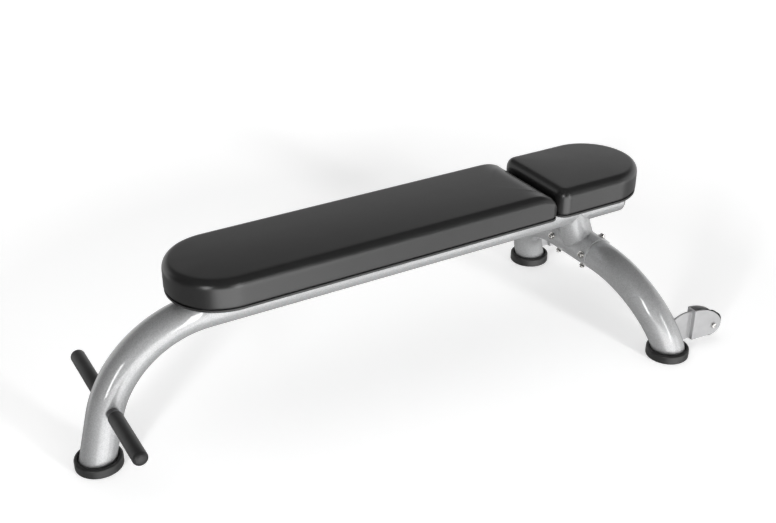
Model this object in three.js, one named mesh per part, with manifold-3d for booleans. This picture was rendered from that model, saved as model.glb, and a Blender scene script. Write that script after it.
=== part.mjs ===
// Flat weight bench: a bent main tube, a leaning rear arch, two vinyl pads, foot pegs and
// two transport wheels.
// Millimetres, +Z up. X runs from the foot end to the head end, and the floor is z = 0.
import * as THREE from 'three';
import { mergeVertices } from 'three/addons/utils/BufferGeometryUtils.js';
import Module from 'manifold-3d';

const wasm = await Module();
wasm.setup();

// ---------------------------------------------------------------- driving dimensions
const GAP = 0.3; // clearance between pieces that touch
const TUBE_RADIUS = 41.25;
const TUBE_WALL = 3;
const TUBE_SIDES = 24;
const BORE_SIDES = 16;
const BEND_STEPS = 8;
const BELOW_FLOOR = 60; // how far a leg's path runs on before it is cut level

// Main tube: a level beam that bends down into the front leg.
const BEAM_AXIS_Z = 320.6;
const BEAM_END_X = 1451;
const BEAM_BEND_RADIUS = 264;
const BEAM_BEND_ANGLE = THREE.MathUtils.degToRad(75.25);

// Rear arch: a flat-topped hoop that leans towards the foot end.
const ARCH_FOOT_X = 1412.6;
const ARCH_LEAN = THREE.MathUtils.degToRad(20.5);
const ARCH_BEND_RADIUS = 217.3;
const ARCH_FLAT_HALF = 83.7;

// Rubber cups under the three tube ends.
const CUP_RADIUS = 54.8;
const CUP_HEIGHT = 24;
const CUP_FLOOR = 3;
const CUP_RECESS_RADIUS = 47;
const CUP_RECESS_DEPTH = 9;
const CUP_EDGE = 4;

// Pegs across the front leg.
const PEG_Z = 152.5;
const PEG_ROD_RADIUS = 14.3;
const PEG_ROD_HALF = 213;
const PEG_SLEEVE_RADIUS = 17.2;
const PEG_SLEEVE_START = 58;
const PEG_SLEEVE_END = 227.8;
const PEG_DOME = 9;

// Saddle between the arch and the post, and the bolts through it.
const SADDLE_WALL = 4.5;
const SADDLE_HALF = 75;
const SADDLE_EDGE_ANGLE = THREE.MathUtils.degToRad(14);
const SADDLE_BOLT_ANGLE = THREE.MathUtils.degToRad(30);
const SADDLE_FRONT_BOLT_Y = 62;
const SADDLE_REAR_BOLT_Y = 50; // staggered from the front pair, so that the shanks pass each other
const SADDLE_BOLT = { shank: 4, head: 7.2, headHeight: 6.5, socket: 3.5, washer: 10.3, washerHeight: 1.8 };
const SADDLE_NUT = { radius: 7.5, height: 6.5, tail: 4 };

// Pads.
const PAD_HALF_WIDTH = 127;
const PAD_BASE_Z = 374.5;
const PAD_TOP_Z = 449;
const PAD_CORNER = 28;
const PAD_EDGE = 18;
const PAD_CURVE_STEPS = 9;
const PAD_BULLNOSE = 60;
const PAD_HEAD_NOSE = 20;
const BOARD_THICKNESS = 11.5;
const BOARD_INSET = 3;
const MAIN_PAD_X = 1165;
const MAIN_PAD_LENGTH = 968.7;
const HEAD_PAD_X = 1167;
const HEAD_PAD_LENGTH = 307;

// Brackets that carry the pads on the beam.
const BRACKET = { length: 50, width: 150, plate: 5.5, rib: 5, ribHalf: 28, ribDrop: 24 };
const BRACKET_SCREW_Y = 60;
const SCREW = { shank: 3, head: 7, headHeight: 3.5, socket: 2, reach: 9 };
const MAIN_BRACKET_X = { front: 420, rear: 1030 };
const HEAD_BRACKET_X = { front: 1228, rear: 1398 };

// Transport wheels behind the rear feet.
const AXLE_X = 1551.5;
const AXLE_Z = 51.5;
const WHEEL_Y = 301;
const WHEEL_RADIUS = 34;
const WHEEL_WIDTH = 20;
const WHEEL_SIDES = 24;
const FASTENER_SIDES = 16;
const SHANK_SIDES = 12;
const HUB_RADIUS = 23;
const HUB_WIDTH = 22;
const BUSH_RADIUS = 8;
const AXLE_RADIUS = 5;
const RUNNING_GAP = 0.12;
const FORK_FRONT_X = 1479.5;
const FORK_HALF_WIDTH = 15;
const FORK_PLATE = 3.5;
const FORK_TOP_Z = 114.5;
const GUSSET_TOP_Z = 110;
const FORK_BOTTOM_Z = 28.5;
const FORK_NOSE_RADIUS = 26.5;
const FORK_CORNER = 2.5;
const GUSSET_PLATE = 5;
const AXLE_HEAD = { radius: 7.2, height: 4.5, socket: 3 };
const AXLE_NUT = { radius: 9.2, height: 8, tail: 3 };

// ---------------------------------------------------------------- materials
function finish(color, roughness, metalness) {
  return new THREE.MeshStandardMaterial({ color, roughness, metalness });
}

const SILVER_PAINT = finish(0xc4c6c8, 0.32, 0.75);
const BRACKET_PAINT = finish(0xcfd0d1, 0.45, 0.55);
const BRIGHT_STEEL = finish(0xd6d6d4, 0.2, 1);
const PEG_STEEL = finish(0x8c8d8f, 0.4, 0.9);
const BLACK_RUBBER = finish(0x2b2b2c, 0.75, 0);
const BLACK_PLASTIC = finish(0x1e1e1f, 0.5, 0);
const BLACK_VINYL = finish(0x343435, 0.5, 0);
const BOARD_VINYL = finish(0x262627, 0.6, 0);
const GREY_PLASTIC = finish(0x77787a, 0.55, 0);

// ---------------------------------------------------------------- solids and booleans
function solid(geometry) {
  const bare = geometry.clone();
  bare.deleteAttribute('normal');
  bare.deleteAttribute('uv');
  const merged = mergeVertices(bare);
  return new wasm.Manifold(new wasm.Mesh({
    numProp: 3,
    vertProperties: new Float32Array(merged.attributes.position.array),
    triVerts: new Uint32Array(merged.index.array),
  }));
}

function toGeometry(manifold) {
  const mesh = manifold.getMesh();
  const geometry = new THREE.BufferGeometry();
  geometry.setAttribute('position', new THREE.BufferAttribute(mesh.vertProperties, 3));
  geometry.setIndex(new THREE.BufferAttribute(mesh.triVerts, 1));
  geometry.computeVertexNormals();
  return geometry;
}

function cut(geometry, ...tools) {
  const left = tools.reduce((body, tool) => body.subtract(solid(tool)), solid(geometry));
  return toGeometry(left);
}

function join(...geometries) {
  const [first, ...rest] = geometries.map(solid);
  return toGeometry(rest.reduce((body, other) => body.add(other), first));
}

function common(first, second) {
  return toGeometry(solid(first).intersect(solid(second)));
}

function box(low, high) {
  const size = high.map((value, axis) => value - low[axis]);
  const centre = high.map((value, axis) => (value + low[axis]) / 2);
  return new THREE.BoxGeometry(...size).translate(...centre);
}

/** A block that holds everything under the level z. */
function blockBelow(z) {
  const reach = 4000;
  return box([-reach, -reach, z - reach], [reach, reach, z]);
}

/** A cylinder along Z, from z = 0 to its height. */
function rod(radius, height, sides = TUBE_SIDES) {
  const upright = new THREE.CylinderGeometry(radius, radius, height, sides).rotateX(Math.PI / 2);
  return upright.translate(0, 0, height / 2);
}

/** A turned piece about Z, from a closed profile of [radius, z] points. */
function turned(profile, sides = TUBE_SIDES) {
  const points = profile.map(([radius, z]) => new THREE.Vector2(radius, z));
  return new THREE.LatheGeometry(points, sides).rotateX(Math.PI / 2);
}

/** A plate in the XZ plane, as thick as it says, centred on y. */
function uprightPlate(shape, thickness, y = 0, curveSegments = 12) {
  const plate = new THREE.ExtrudeGeometry(shape, { depth: thickness, bevelEnabled: false, curveSegments });
  return plate.rotateX(Math.PI / 2).translate(0, y + thickness / 2, 0);
}

function pointTo(mesh, direction) {
  mesh.quaternion.setFromUnitVectors(new THREE.Vector3(0, 0, 1), direction.clone().normalize());
  return mesh;
}

// ---------------------------------------------------------------- swept tubes
/** A path given by stations, with one section at each, so that a straight run costs a single step. */
class StationPath extends THREE.Curve {
  constructor(stations) {
    super();
    this.stations = stations;
  }

  station(u) {
    return this.stations[Math.round(u * (this.stations.length - 1))];
  }

  getPointAt(u) {
    return this.station(u).point.clone();
  }

  getTangentAt(u) {
    return this.station(u).tangent.clone();
  }
}

function circle(radius, sides = TUBE_SIDES) {
  const points = Array.from({ length: sides }, (_, index) => {
    const angle = (2 * Math.PI * index) / sides;
    return new THREE.Vector2(radius * Math.cos(angle), radius * Math.sin(angle));
  });
  return new THREE.Shape(points);
}

function sweep(stations, radius, sides = TUBE_SIDES) {
  const path = new StationPath(stations);
  return new THREE.ExtrudeGeometry(circle(radius, sides), { steps: stations.length - 1, extrudePath: path });
}

/** A thin-walled tube with both ends open, because the bore's path overshoots the outer one. */
function hollow(stationsFor) {
  return cut(sweep(stationsFor(0), TUBE_RADIUS), sweep(stationsFor(1), TUBE_RADIUS - TUBE_WALL, BORE_SIDES));
}

const legRise = new THREE.Vector3(Math.cos(BEAM_BEND_ANGLE), 0, Math.sin(BEAM_BEND_ANGLE));
const bendCentreZ = BEAM_AXIS_Z - BEAM_BEND_RADIUS;
const bendEndZ = bendCentreZ + BEAM_BEND_RADIUS * Math.cos(BEAM_BEND_ANGLE);
const bendEndX = ((bendEndZ - CUP_HEIGHT) * legRise.x) / legRise.z;
const bendCentreX = bendEndX + BEAM_BEND_RADIUS * Math.sin(BEAM_BEND_ANGLE);

/** The main tube's path: up the front leg, round the bend and along the beam. */
function mainStations(overshoot = 0) {
  const start = new THREE.Vector3(bendEndX, 0, bendEndZ);
  start.addScaledVector(legRise, -(bendEndZ + BELOW_FLOOR + overshoot) / legRise.z);
  const stations = [{ point: start, tangent: legRise }];
  for (let step = 0; step <= BEND_STEPS; step += 1) {
    const angle = BEAM_BEND_ANGLE * (1 - step / BEND_STEPS);
    const x = bendCentreX - BEAM_BEND_RADIUS * Math.sin(angle);
    const z = bendCentreZ + BEAM_BEND_RADIUS * Math.cos(angle);
    stations.push({
      point: new THREE.Vector3(x, 0, z),
      tangent: new THREE.Vector3(Math.cos(angle), 0, Math.sin(angle)),
    });
  }
  const end = new THREE.Vector3(BEAM_END_X + overshoot, 0, BEAM_AXIS_Z);
  stations.push({ point: end, tangent: new THREE.Vector3(1, 0, 0) });
  return stations;
}

/** The arch's path in its own plane: Y across the bench and Z up the leaning plane. */
function archStations(overshoot = 0) {
  const footY = ARCH_FLAT_HALF + ARCH_BEND_RADIUS;
  const down = -BELOW_FLOOR - overshoot;
  const stations = [{ point: new THREE.Vector3(0, -footY, down), tangent: new THREE.Vector3(0, 0, 1) }];
  for (const side of [-1, 1]) {
    for (let step = 0; step <= BEND_STEPS; step += 1) {
      const part = side < 0 ? step / BEND_STEPS : 1 - step / BEND_STEPS;
      const angle = (part * Math.PI) / 2;
      const y = side * (ARCH_FLAT_HALF + ARCH_BEND_RADIUS * Math.cos(angle));
      stations.push({
        point: new THREE.Vector3(0, y, ARCH_BEND_RADIUS * Math.sin(angle)),
        tangent: new THREE.Vector3(0, Math.sin(angle), -side * Math.cos(angle)),
      });
    }
  }
  stations.push({ point: new THREE.Vector3(0, footY, down), tangent: new THREE.Vector3(0, 0, -1) });
  return stations;
}

// The arch's plane meets the floor behind the rear cups' centres.
const leanGroup = new THREE.Group();
leanGroup.position.x = ARCH_FOOT_X + CUP_HEIGHT * Math.tan(ARCH_LEAN);
leanGroup.rotation.y = -ARCH_LEAN;
leanGroup.updateMatrix();
const toLean = leanGroup.matrix.clone().invert();

/** A bench-frame cutting tool, moved into the arch's leaning frame. */
function leaned(geometry) {
  return geometry.clone().applyMatrix4(toLean);
}

/** A solid arch of the radius, in the bench frame, for cutting what it passes through. */
function archTool(radius) {
  return sweep(archStations(), radius).applyMatrix4(leanGroup.matrix);
}

function mainTool(radius) {
  return sweep(mainStations(), radius);
}

// ---------------------------------------------------------------- fasteners
/** A round-headed bolt with a hexagonal socket, its seat at z = 0 and its shank running down. */
function socketBolt({ shank, head, headHeight, socket, length }) {
  const shankRod = rod(shank, length + 1, SHANK_SIDES).translate(0, 0, -length);
  const headRod = turned([
    [0, 0], [head, 0], [head, headHeight - 1.2], [head - 1.2, headHeight], [0, headHeight],
  ], FASTENER_SIDES);
  const hexagon = rod(socket, headHeight, 6).translate(0, 0, headHeight * 0.45);
  return cut(join(headRod, shankRod), hexagon);
}

function washer(bore, radius, height) {
  return cut(rod(radius, height, FASTENER_SIDES), rod(bore, height + 2, SHANK_SIDES).translate(0, 0, -1));
}

function hexNut(bore, radius, height) {
  return cut(rod(radius, height, 6), rod(bore, height + 2, SHANK_SIDES).translate(0, 0, -1));
}

// ---------------------------------------------------------------- main frame
function makeMainTube() {
  const tube = hollow(mainStations);
  const pegHole = rod(PEG_ROD_RADIUS + GAP, 2 * TUBE_RADIUS + 20).rotateX(Math.PI / 2);
  pegHole.translate(pegX(), TUBE_RADIUS + 10, PEG_Z);
  return cut(tube, blockBelow(CUP_FLOOR + GAP), pegHole);
}

/** Where the front leg's centre line crosses the pegs' height. */
function pegX() {
  const rise = PEG_Z - bendCentreZ;
  return bendCentreX - Math.sqrt(BEAM_BEND_RADIUS ** 2 - rise ** 2);
}

function makeBeamEndCap() {
  const plugRadius = (TUBE_RADIUS - TUBE_WALL) * Math.cos(Math.PI / BORE_SIDES) - GAP;
  const plugWall = 2.5;
  const plugDepth = 18;
  const face = 3;
  return turned([
    [0, 0], [plugRadius - plugWall, 0], [plugRadius - plugWall, -plugDepth], [plugRadius, -plugDepth],
    [plugRadius, 0], [TUBE_RADIUS, 0], [TUBE_RADIUS, face - 1], [TUBE_RADIUS - 1, face], [0, face],
  ]);
}

function makeCup(legTool, x, y) {
  const cup = turned([
    [0, 0], [CUP_RADIUS - 1.5, 0], [CUP_RADIUS, 1.5], [CUP_RADIUS, CUP_HEIGHT - CUP_EDGE],
    [CUP_RADIUS - CUP_EDGE * 0.3, CUP_HEIGHT - CUP_EDGE * 0.3], [CUP_RADIUS - CUP_EDGE, CUP_HEIGHT],
    [CUP_RECESS_RADIUS, CUP_HEIGHT], [CUP_RECESS_RADIUS, CUP_HEIGHT - CUP_RECESS_DEPTH],
    [0, CUP_HEIGHT - CUP_RECESS_DEPTH],
  ], WHEEL_SIDES);
  const leg = cut(legTool, blockBelow(CUP_FLOOR)).translate(-x, -y, 0);
  return cut(cup, leg);
}

function makePegSleeve() {
  const bore = PEG_ROD_RADIUS + GAP;
  const boreEnd = PEG_ROD_HALF + GAP;
  const profile = [[bore, PEG_SLEEVE_START], [PEG_SLEEVE_RADIUS, PEG_SLEEVE_START]];
  const domeSteps = 4;
  for (let step = 0; step <= domeSteps; step += 1) {
    const angle = (step / domeSteps) * (Math.PI / 2);
    const radius = step === domeSteps ? 0 : PEG_SLEEVE_RADIUS * Math.cos(angle);
    profile.push([radius, PEG_SLEEVE_END - PEG_DOME + PEG_DOME * Math.sin(angle)]);
  }
  profile.push([0, boreEnd], [bore, boreEnd], [bore, PEG_SLEEVE_START]);
  return turned(profile, 20);
}

// ---------------------------------------------------------------- rear arch, saddle and post
const saddleRadius = TUBE_RADIUS + GAP + SADDLE_WALL;

function saddleBolts() {
  return [-1, 1].flatMap((across) => [-1, 1].map((along) => {
    const y = -across * (along < 0 ? SADDLE_FRONT_BOLT_Y : SADDLE_REAR_BOLT_Y);
    const outward = new THREE.Vector3(along * Math.cos(SADDLE_BOLT_ANGLE), 0, Math.sin(SADDLE_BOLT_ANGLE));
    return {
      name: `${along < 0 ? 'front' : 'rear'}_${across < 0 ? 'left' : 'right'}`,
      outward,
      origin: new THREE.Vector3(0, y, ARCH_BEND_RADIUS),
    };
  }));
}

/** Holes through the arch and the saddle, one for each saddle bolt. */
function saddleBoltHoles() {
  const length = 4 * TUBE_RADIUS;
  return saddleBolts().map(({ outward, origin }) => {
    const hole = rod(SADDLE_BOLT.shank + GAP, length, SHANK_SIDES).translate(0, 0, -length / 2);
    const turn = new THREE.Quaternion().setFromUnitVectors(new THREE.Vector3(0, 0, 1), outward);
    return hole.applyQuaternion(turn).translate(...origin.toArray());
  });
}

function makeArch() {
  return cut(hollow(archStations), leaned(blockBelow(CUP_FLOOR + GAP)), ...saddleBoltHoles());
}

function makeSaddle() {
  const inner = TUBE_RADIUS + GAP;
  const from = SADDLE_EDGE_ANGLE;
  const to = Math.PI - SADDLE_EDGE_ANGLE;
  const shell = new THREE.Shape();
  shell.absarc(0, 0, saddleRadius, from, to, false);
  shell.absarc(0, 0, inner, to, from, true);
  shell.closePath();
  const plate = uprightPlate(shell, 2 * SADDLE_HALF, 0, 16).translate(0, 0, ARCH_BEND_RADIUS);
  return cut(plate, ...saddleBoltHoles());
}

function makePost() {
  const top = 2 * TUBE_RADIUS + ARCH_BEND_RADIUS;
  const outer = rod(TUBE_RADIUS, top, TUBE_SIDES);
  const bore = rod(TUBE_RADIUS - TUBE_WALL, top + 2, BORE_SIDES).translate(0, 0, -1);
  const saddleSpan = 4 * TUBE_RADIUS;
  const saddleTool = rod(saddleRadius + 2 * GAP, saddleSpan, WHEEL_SIDES).rotateX(Math.PI / 2);
  saddleTool.translate(0, saddleSpan / 2, ARCH_BEND_RADIUS);
  const beamAbove = box([-200, -200, BEAM_AXIS_Z - 1], [2000, 200, BEAM_AXIS_Z + 400]);
  const archBelow = blockBelow(ARCH_BEND_RADIUS + 1);
  return cut(outer, bore, saddleTool, archBelow, leaned(mainTool(TUBE_RADIUS + GAP)), leaned(beamAbove));
}

// ---------------------------------------------------------------- pads
/** A pad's outline in plan: square end at x = 0 with rounded corners, half-round end at x = length. */
function padOutline(length, inset = 0) {
  const half = PAD_HALF_WIDTH - inset;
  const corner = PAD_CORNER - inset;
  const roundX = length - PAD_HALF_WIDTH;
  const outline = new THREE.Shape();
  outline.moveTo(inset + corner, -half);
  outline.lineTo(roundX, -half);
  outline.absarc(roundX, 0, half, -Math.PI / 2, Math.PI / 2, false);
  outline.lineTo(inset + corner, half);
  outline.absarc(inset + corner, half - corner, corner, Math.PI / 2, Math.PI, false);
  outline.absarc(inset + corner, corner - half, corner, Math.PI, 1.5 * Math.PI, false);
  return outline;
}

/** The cushion: its plan with a rounded top edge, and a bigger rounding over its square end. */
function makeCushion(length, nose) {
  const height = PAD_TOP_Z - PAD_BASE_Z - BOARD_THICKNESS - GAP;
  const body = new THREE.ExtrudeGeometry(padOutline(length), {
    depth: height,
    curveSegments: PAD_CURVE_STEPS,
    bevelThickness: PAD_EDGE,
    bevelSize: PAD_EDGE,
    bevelOffset: -PAD_EDGE,
    bevelSegments: 2,
  }).translate(0, 0, -PAD_EDGE);
  const side = new THREE.Shape();
  side.moveTo(0, 0);
  side.lineTo(length + 10, 0);
  side.lineTo(length + 10, height);
  side.lineTo(nose, height);
  side.absarc(nose, height - nose, nose, Math.PI / 2, Math.PI, false);
  side.closePath();
  return common(body, uprightPlate(side, 3 * PAD_HALF_WIDTH, 0, 8));
}

function makeBoard(length, screwXs) {
  const board = new THREE.ExtrudeGeometry(padOutline(length, BOARD_INSET), {
    depth: BOARD_THICKNESS,
    curveSegments: PAD_CURVE_STEPS,
    bevelEnabled: false,
  });
  const holes = screwXs.flatMap((x) => [-1, 1].map((side) => (
    rod(SCREW.shank + GAP, SCREW.reach + 2, SHANK_SIDES).translate(x, side * BRACKET_SCREW_Y, -1)
  )));
  return cut(board, ...holes);
}

/** A bracket between the beam and a pad board: a flat plate on two ribs coped to the beam. */
function makePadBracket(x) {
  const top = PAD_BASE_Z - GAP;
  const under = top - BRACKET.plate;
  const half = BRACKET.length / 2;
  const plate = box([x - half, -BRACKET.width / 2, under], [x + half, BRACKET.width / 2, top]);
  const ribs = [x - half, x + half - BRACKET.rib].map((start) => box(
    [start, -BRACKET.ribHalf, under - BRACKET.ribDrop],
    [start + BRACKET.rib, BRACKET.ribHalf, under + 1],
  ));
  const holes = [-1, 1].map((side) => (
    rod(SCREW.shank + GAP, BRACKET.plate + 2, SHANK_SIDES).translate(x, side * BRACKET_SCREW_Y, under - 1)
  ));
  return cut(join(plate, ...ribs), mainTool(TUBE_RADIUS + GAP), ...holes);
}

// ---------------------------------------------------------------- transport wheels
/** The fork's side outline: a long cheek with a round nose about the axle. */
function cheekOutline() {
  const outline = new THREE.Shape();
  outline.moveTo(FORK_FRONT_X, FORK_BOTTOM_Z);
  outline.lineTo(AXLE_X, AXLE_Z - FORK_NOSE_RADIUS);
  outline.absarc(AXLE_X, AXLE_Z, FORK_NOSE_RADIUS, -Math.PI / 2, Math.PI / 5, false);
  const crownX = AXLE_X - 32;
  outline.bezierCurveTo(AXLE_X + 4, FORK_TOP_Z - 21, crownX, FORK_TOP_Z - 3, FORK_FRONT_X, FORK_TOP_Z);
  outline.closePath();
  return outline;
}

/** The fork: one plate folded into a U, open towards the head end. */
function makeFork() {
  const far = AXLE_X + FORK_NOSE_RADIUS + 5;
  const half = FORK_HALF_WIDTH;
  const inner = half - FORK_PLATE;
  const fold = new THREE.Shape();
  fold.moveTo(far, -half);
  fold.lineTo(far, -inner);
  fold.lineTo(FORK_FRONT_X + FORK_PLATE, -inner);
  fold.lineTo(FORK_FRONT_X + FORK_PLATE, inner);
  fold.lineTo(far, inner);
  fold.lineTo(far, half);
  fold.lineTo(FORK_FRONT_X + FORK_CORNER, half);
  fold.absarc(FORK_FRONT_X + FORK_CORNER, half - FORK_CORNER, FORK_CORNER, Math.PI / 2, Math.PI, false);
  fold.absarc(FORK_FRONT_X + FORK_CORNER, FORK_CORNER - half, FORK_CORNER, Math.PI, 1.5 * Math.PI, false);
  fold.closePath();
  const channel = new THREE.ExtrudeGeometry(fold, { depth: 200, bevelEnabled: false, curveSegments: 4 });
  const body = common(channel, uprightPlate(cheekOutline(), 4 * half, 0, 10));
  const hole = rod(AXLE_RADIUS + GAP, 4 * half).rotateX(Math.PI / 2).translate(AXLE_X, 2 * half, AXLE_Z);
  return cut(body, hole);
}

/** The gusset that carries a fork: a plate coped to the back of the leg. */
function makeGusset(side) {
  const end = FORK_FRONT_X - GAP;
  const outline = new THREE.Shape();
  outline.moveTo(ARCH_FOOT_X, FORK_BOTTOM_Z);
  outline.lineTo(end, FORK_BOTTOM_Z);
  outline.lineTo(end, GUSSET_TOP_Z - 1);
  outline.lineTo(end - 17, GUSSET_TOP_Z);
  outline.quadraticCurveTo(end - 54, GUSSET_TOP_Z, ARCH_FOOT_X - 10, GUSSET_TOP_Z - 24);
  outline.closePath();
  const plate = uprightPlate(outline, GUSSET_PLATE, side * WHEEL_Y, 10);
  return cut(plate, archTool(TUBE_RADIUS + GAP));
}

function makeTyre() {
  const half = WHEEL_WIDTH / 2;
  const inner = HUB_RADIUS + GAP;
  const edge = 3;
  return turned([
    [inner, -half], [WHEEL_RADIUS - edge, -half], [WHEEL_RADIUS - edge * 0.3, -half + edge * 0.3],
    [WHEEL_RADIUS, -half + edge], [WHEEL_RADIUS, half - edge],
    [WHEEL_RADIUS - edge * 0.3, half - edge * 0.3], [WHEEL_RADIUS - edge, half],
    [inner, half], [inner, -half],
  ], WHEEL_SIDES);
}

function makeHub() {
  const rim = WHEEL_WIDTH / 2;
  const boss = HUB_WIDTH / 2;
  const web = 3;
  const bore = BUSH_RADIUS + GAP;
  const rimInner = HUB_RADIUS - 3;
  const bossRadius = 12;
  return turned([
    [bore, -boss], [bossRadius, -boss], [bossRadius, -web], [rimInner, -web],
    [rimInner, -rim], [HUB_RADIUS, -rim], [HUB_RADIUS, rim], [rimInner, rim],
    [rimInner, web], [bossRadius, web], [bossRadius, boss], [bore, boss], [bore, -boss],
  ], WHEEL_SIDES);
}

function makeBush() {
  const boss = HUB_WIDTH / 2;
  const bore = AXLE_RADIUS + RUNNING_GAP;
  return turned([[bore, -boss], [BUSH_RADIUS, -boss], [BUSH_RADIUS, boss], [bore, boss], [bore, -boss]], 20);
}

/** The axle bolt, its seat on the outside of the fork's outer cheek. */
function makeAxleBolt() {
  const length = 2 * FORK_HALF_WIDTH + 2 * GAP + AXLE_NUT.height + AXLE_NUT.tail;
  return socketBolt({
    shank: AXLE_RADIUS,
    head: AXLE_HEAD.radius,
    headHeight: AXLE_HEAD.height,
    socket: AXLE_HEAD.socket,
    length,
  });
}

// ---------------------------------------------------------------- assembly
const bench = new THREE.Group();
const frame = new THREE.Group();
bench.add(frame);

function put(parent, name, geometry, material, position = [0, 0, 0]) {
  const mesh = new THREE.Mesh(geometry, material);
  mesh.name = name;
  mesh.position.set(...position);
  parent.add(mesh);
  return mesh;
}

function addMainFrame() {
  put(frame, 'main_frame_tube', makeMainTube(), SILVER_PAINT);
  const capSeat = [BEAM_END_X + GAP, 0, BEAM_AXIS_Z];
  pointTo(put(frame, 'beam_end_cap', makeBeamEndCap(), BLACK_PLASTIC, capSeat), new THREE.Vector3(1, 0, 0));
  put(frame, 'front_foot_cup', makeCup(mainTool(TUBE_RADIUS + GAP), 0, 0), BLACK_RUBBER);
  const across = new THREE.Vector3(0, 1, 0);
  const rodBody = rod(PEG_ROD_RADIUS, 2 * PEG_ROD_HALF).translate(0, 0, -PEG_ROD_HALF);
  pointTo(put(frame, 'peg_rod', rodBody, PEG_STEEL, [pegX(), 0, PEG_Z]), across);
  for (const [name, side] of [['left', 1], ['right', -1]]) {
    const sleeve = put(frame, `peg_sleeve_${name}`, makePegSleeve(), BLACK_RUBBER, [pegX(), 0, PEG_Z]);
    pointTo(sleeve, across.clone().multiplyScalar(side));
  }
}

function addRearArch() {
  frame.add(leanGroup);
  put(leanGroup, 'rear_arch', makeArch(), SILVER_PAINT);
  put(leanGroup, 'post_saddle', makeSaddle(), SILVER_PAINT);
  put(leanGroup, 'post_tube', makePost(), SILVER_PAINT);
  const seat = saddleRadius + GAP;
  const headSeat = seat + SADDLE_BOLT.washerHeight + GAP;
  const nutSeat = TUBE_RADIUS + 2 * GAP;
  const length = headSeat + nutSeat + SADDLE_NUT.height + SADDLE_NUT.tail;
  for (const { name, outward, origin } of saddleBolts()) {
    const at = (distance) => origin.clone().addScaledVector(outward, distance).toArray();
    const inward = outward.clone().negate();
    const bolt = socketBolt({ ...SADDLE_BOLT, length });
    const ring = washer(SADDLE_BOLT.shank + GAP, SADDLE_BOLT.washer, SADDLE_BOLT.washerHeight);
    const nut = hexNut(SADDLE_BOLT.shank + GAP, SADDLE_NUT.radius, SADDLE_NUT.height);
    pointTo(put(leanGroup, `saddle_bolt_${name}`, bolt, BRIGHT_STEEL, at(headSeat)), outward);
    pointTo(put(leanGroup, `saddle_washer_${name}`, ring, BRIGHT_STEEL, at(seat)), outward);
    pointTo(put(leanGroup, `saddle_nut_${name}`, nut, BRIGHT_STEEL, at(-nutSeat)), inward);
  }
  const cupHeightUpPlane = CUP_HEIGHT / Math.cos(ARCH_LEAN);
  const cupY = ARCH_FLAT_HALF + Math.sqrt(ARCH_BEND_RADIUS ** 2 - cupHeightUpPlane ** 2);
  const tool = archTool(TUBE_RADIUS + GAP);
  for (const [name, side] of [['left', 1], ['right', -1]]) {
    const cup = makeCup(tool, ARCH_FOOT_X, side * cupY);
    put(frame, `rear_foot_cup_${name}`, cup, BLACK_RUBBER, [ARCH_FOOT_X, side * cupY, 0]);
  }
}

function addPad(name, x, length, nose, flip, brackets) {
  const direction = flip ? -1 : 1;
  const screwXs = Object.values(brackets).map((bracketX) => direction * (bracketX - x));
  const cushionZ = PAD_BASE_Z + BOARD_THICKNESS + GAP;
  const foam = makeCushion(length, nose);
  const cushion = put(frame, `${name}_pad_cushion`, foam, BLACK_VINYL, [x, 0, cushionZ]);
  const base = makeBoard(length, screwXs);
  const board = put(frame, `${name}_pad_board`, base, BOARD_VINYL, [x, 0, PAD_BASE_Z]);
  const turn = flip ? Math.PI : 0;
  cushion.rotation.z = turn;
  board.rotation.z = turn;
  const under = PAD_BASE_Z - 2 * GAP - BRACKET.plate;
  const reach = BRACKET.plate + GAP + SCREW.reach - 1;
  for (const [place, bracketX] of Object.entries(brackets)) {
    put(frame, `${name}_pad_bracket_${place}`, makePadBracket(bracketX), BRACKET_PAINT);
    for (const [sideName, side] of [['left', 1], ['right', -1]]) {
      const screw = socketBolt({ ...SCREW, length: reach });
      const at = [bracketX, side * BRACKET_SCREW_Y, under];
      const mesh = put(frame, `${name}_pad_screw_${place}_${sideName}`, screw, BRIGHT_STEEL, at);
      mesh.rotation.x = Math.PI;
    }
  }
}

function addWheel(name, side) {
  const outward = new THREE.Vector3(0, side, 0);
  const axle = [AXLE_X, side * WHEEL_Y, AXLE_Z];
  const onAxle = (distance) => [AXLE_X, side * (WHEEL_Y + distance), AXLE_Z];
  put(frame, `wheel_gusset_${name}`, makeGusset(side), BRACKET_PAINT);
  put(frame, `wheel_fork_${name}`, makeFork(), BRACKET_PAINT, [0, side * WHEEL_Y, 0]);
  pointTo(put(frame, `wheel_tyre_${name}`, makeTyre(), BLACK_RUBBER, axle), outward);
  pointTo(put(frame, `wheel_hub_${name}`, makeHub(), BLACK_PLASTIC, axle), outward);
  pointTo(put(frame, `wheel_bush_${name}`, makeBush(), GREY_PLASTIC, axle), outward);
  const seat = FORK_HALF_WIDTH + GAP;
  pointTo(put(frame, `axle_bolt_${name}`, makeAxleBolt(), BRIGHT_STEEL, onAxle(seat)), outward);
  const nut = hexNut(AXLE_RADIUS + GAP, AXLE_NUT.radius, AXLE_NUT.height);
  pointTo(put(frame, `axle_nut_${name}`, nut, BRIGHT_STEEL, onAxle(-seat)), outward.clone().negate());
}

addMainFrame();
addRearArch();
addPad('main', MAIN_PAD_X, MAIN_PAD_LENGTH, PAD_BULLNOSE, true, MAIN_BRACKET_X);
addPad('head', HEAD_PAD_X, HEAD_PAD_LENGTH, PAD_HEAD_NOSE, false, HEAD_BRACKET_X);
addWheel('left', 1);
addWheel('right', -1);

// The origin is the middle of the bench's length, on the floor.
frame.position.x = (CUP_RADIUS - AXLE_X - WHEEL_RADIUS) / 2;

export default bench;
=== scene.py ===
"""Looks of a flat weight bench: painted tube frame, vinyl pads, rubber feet and pegs, transport wheels."""

import math

import bmesh
import bpy
from mathutils import Euler, Matrix, Vector


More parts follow.
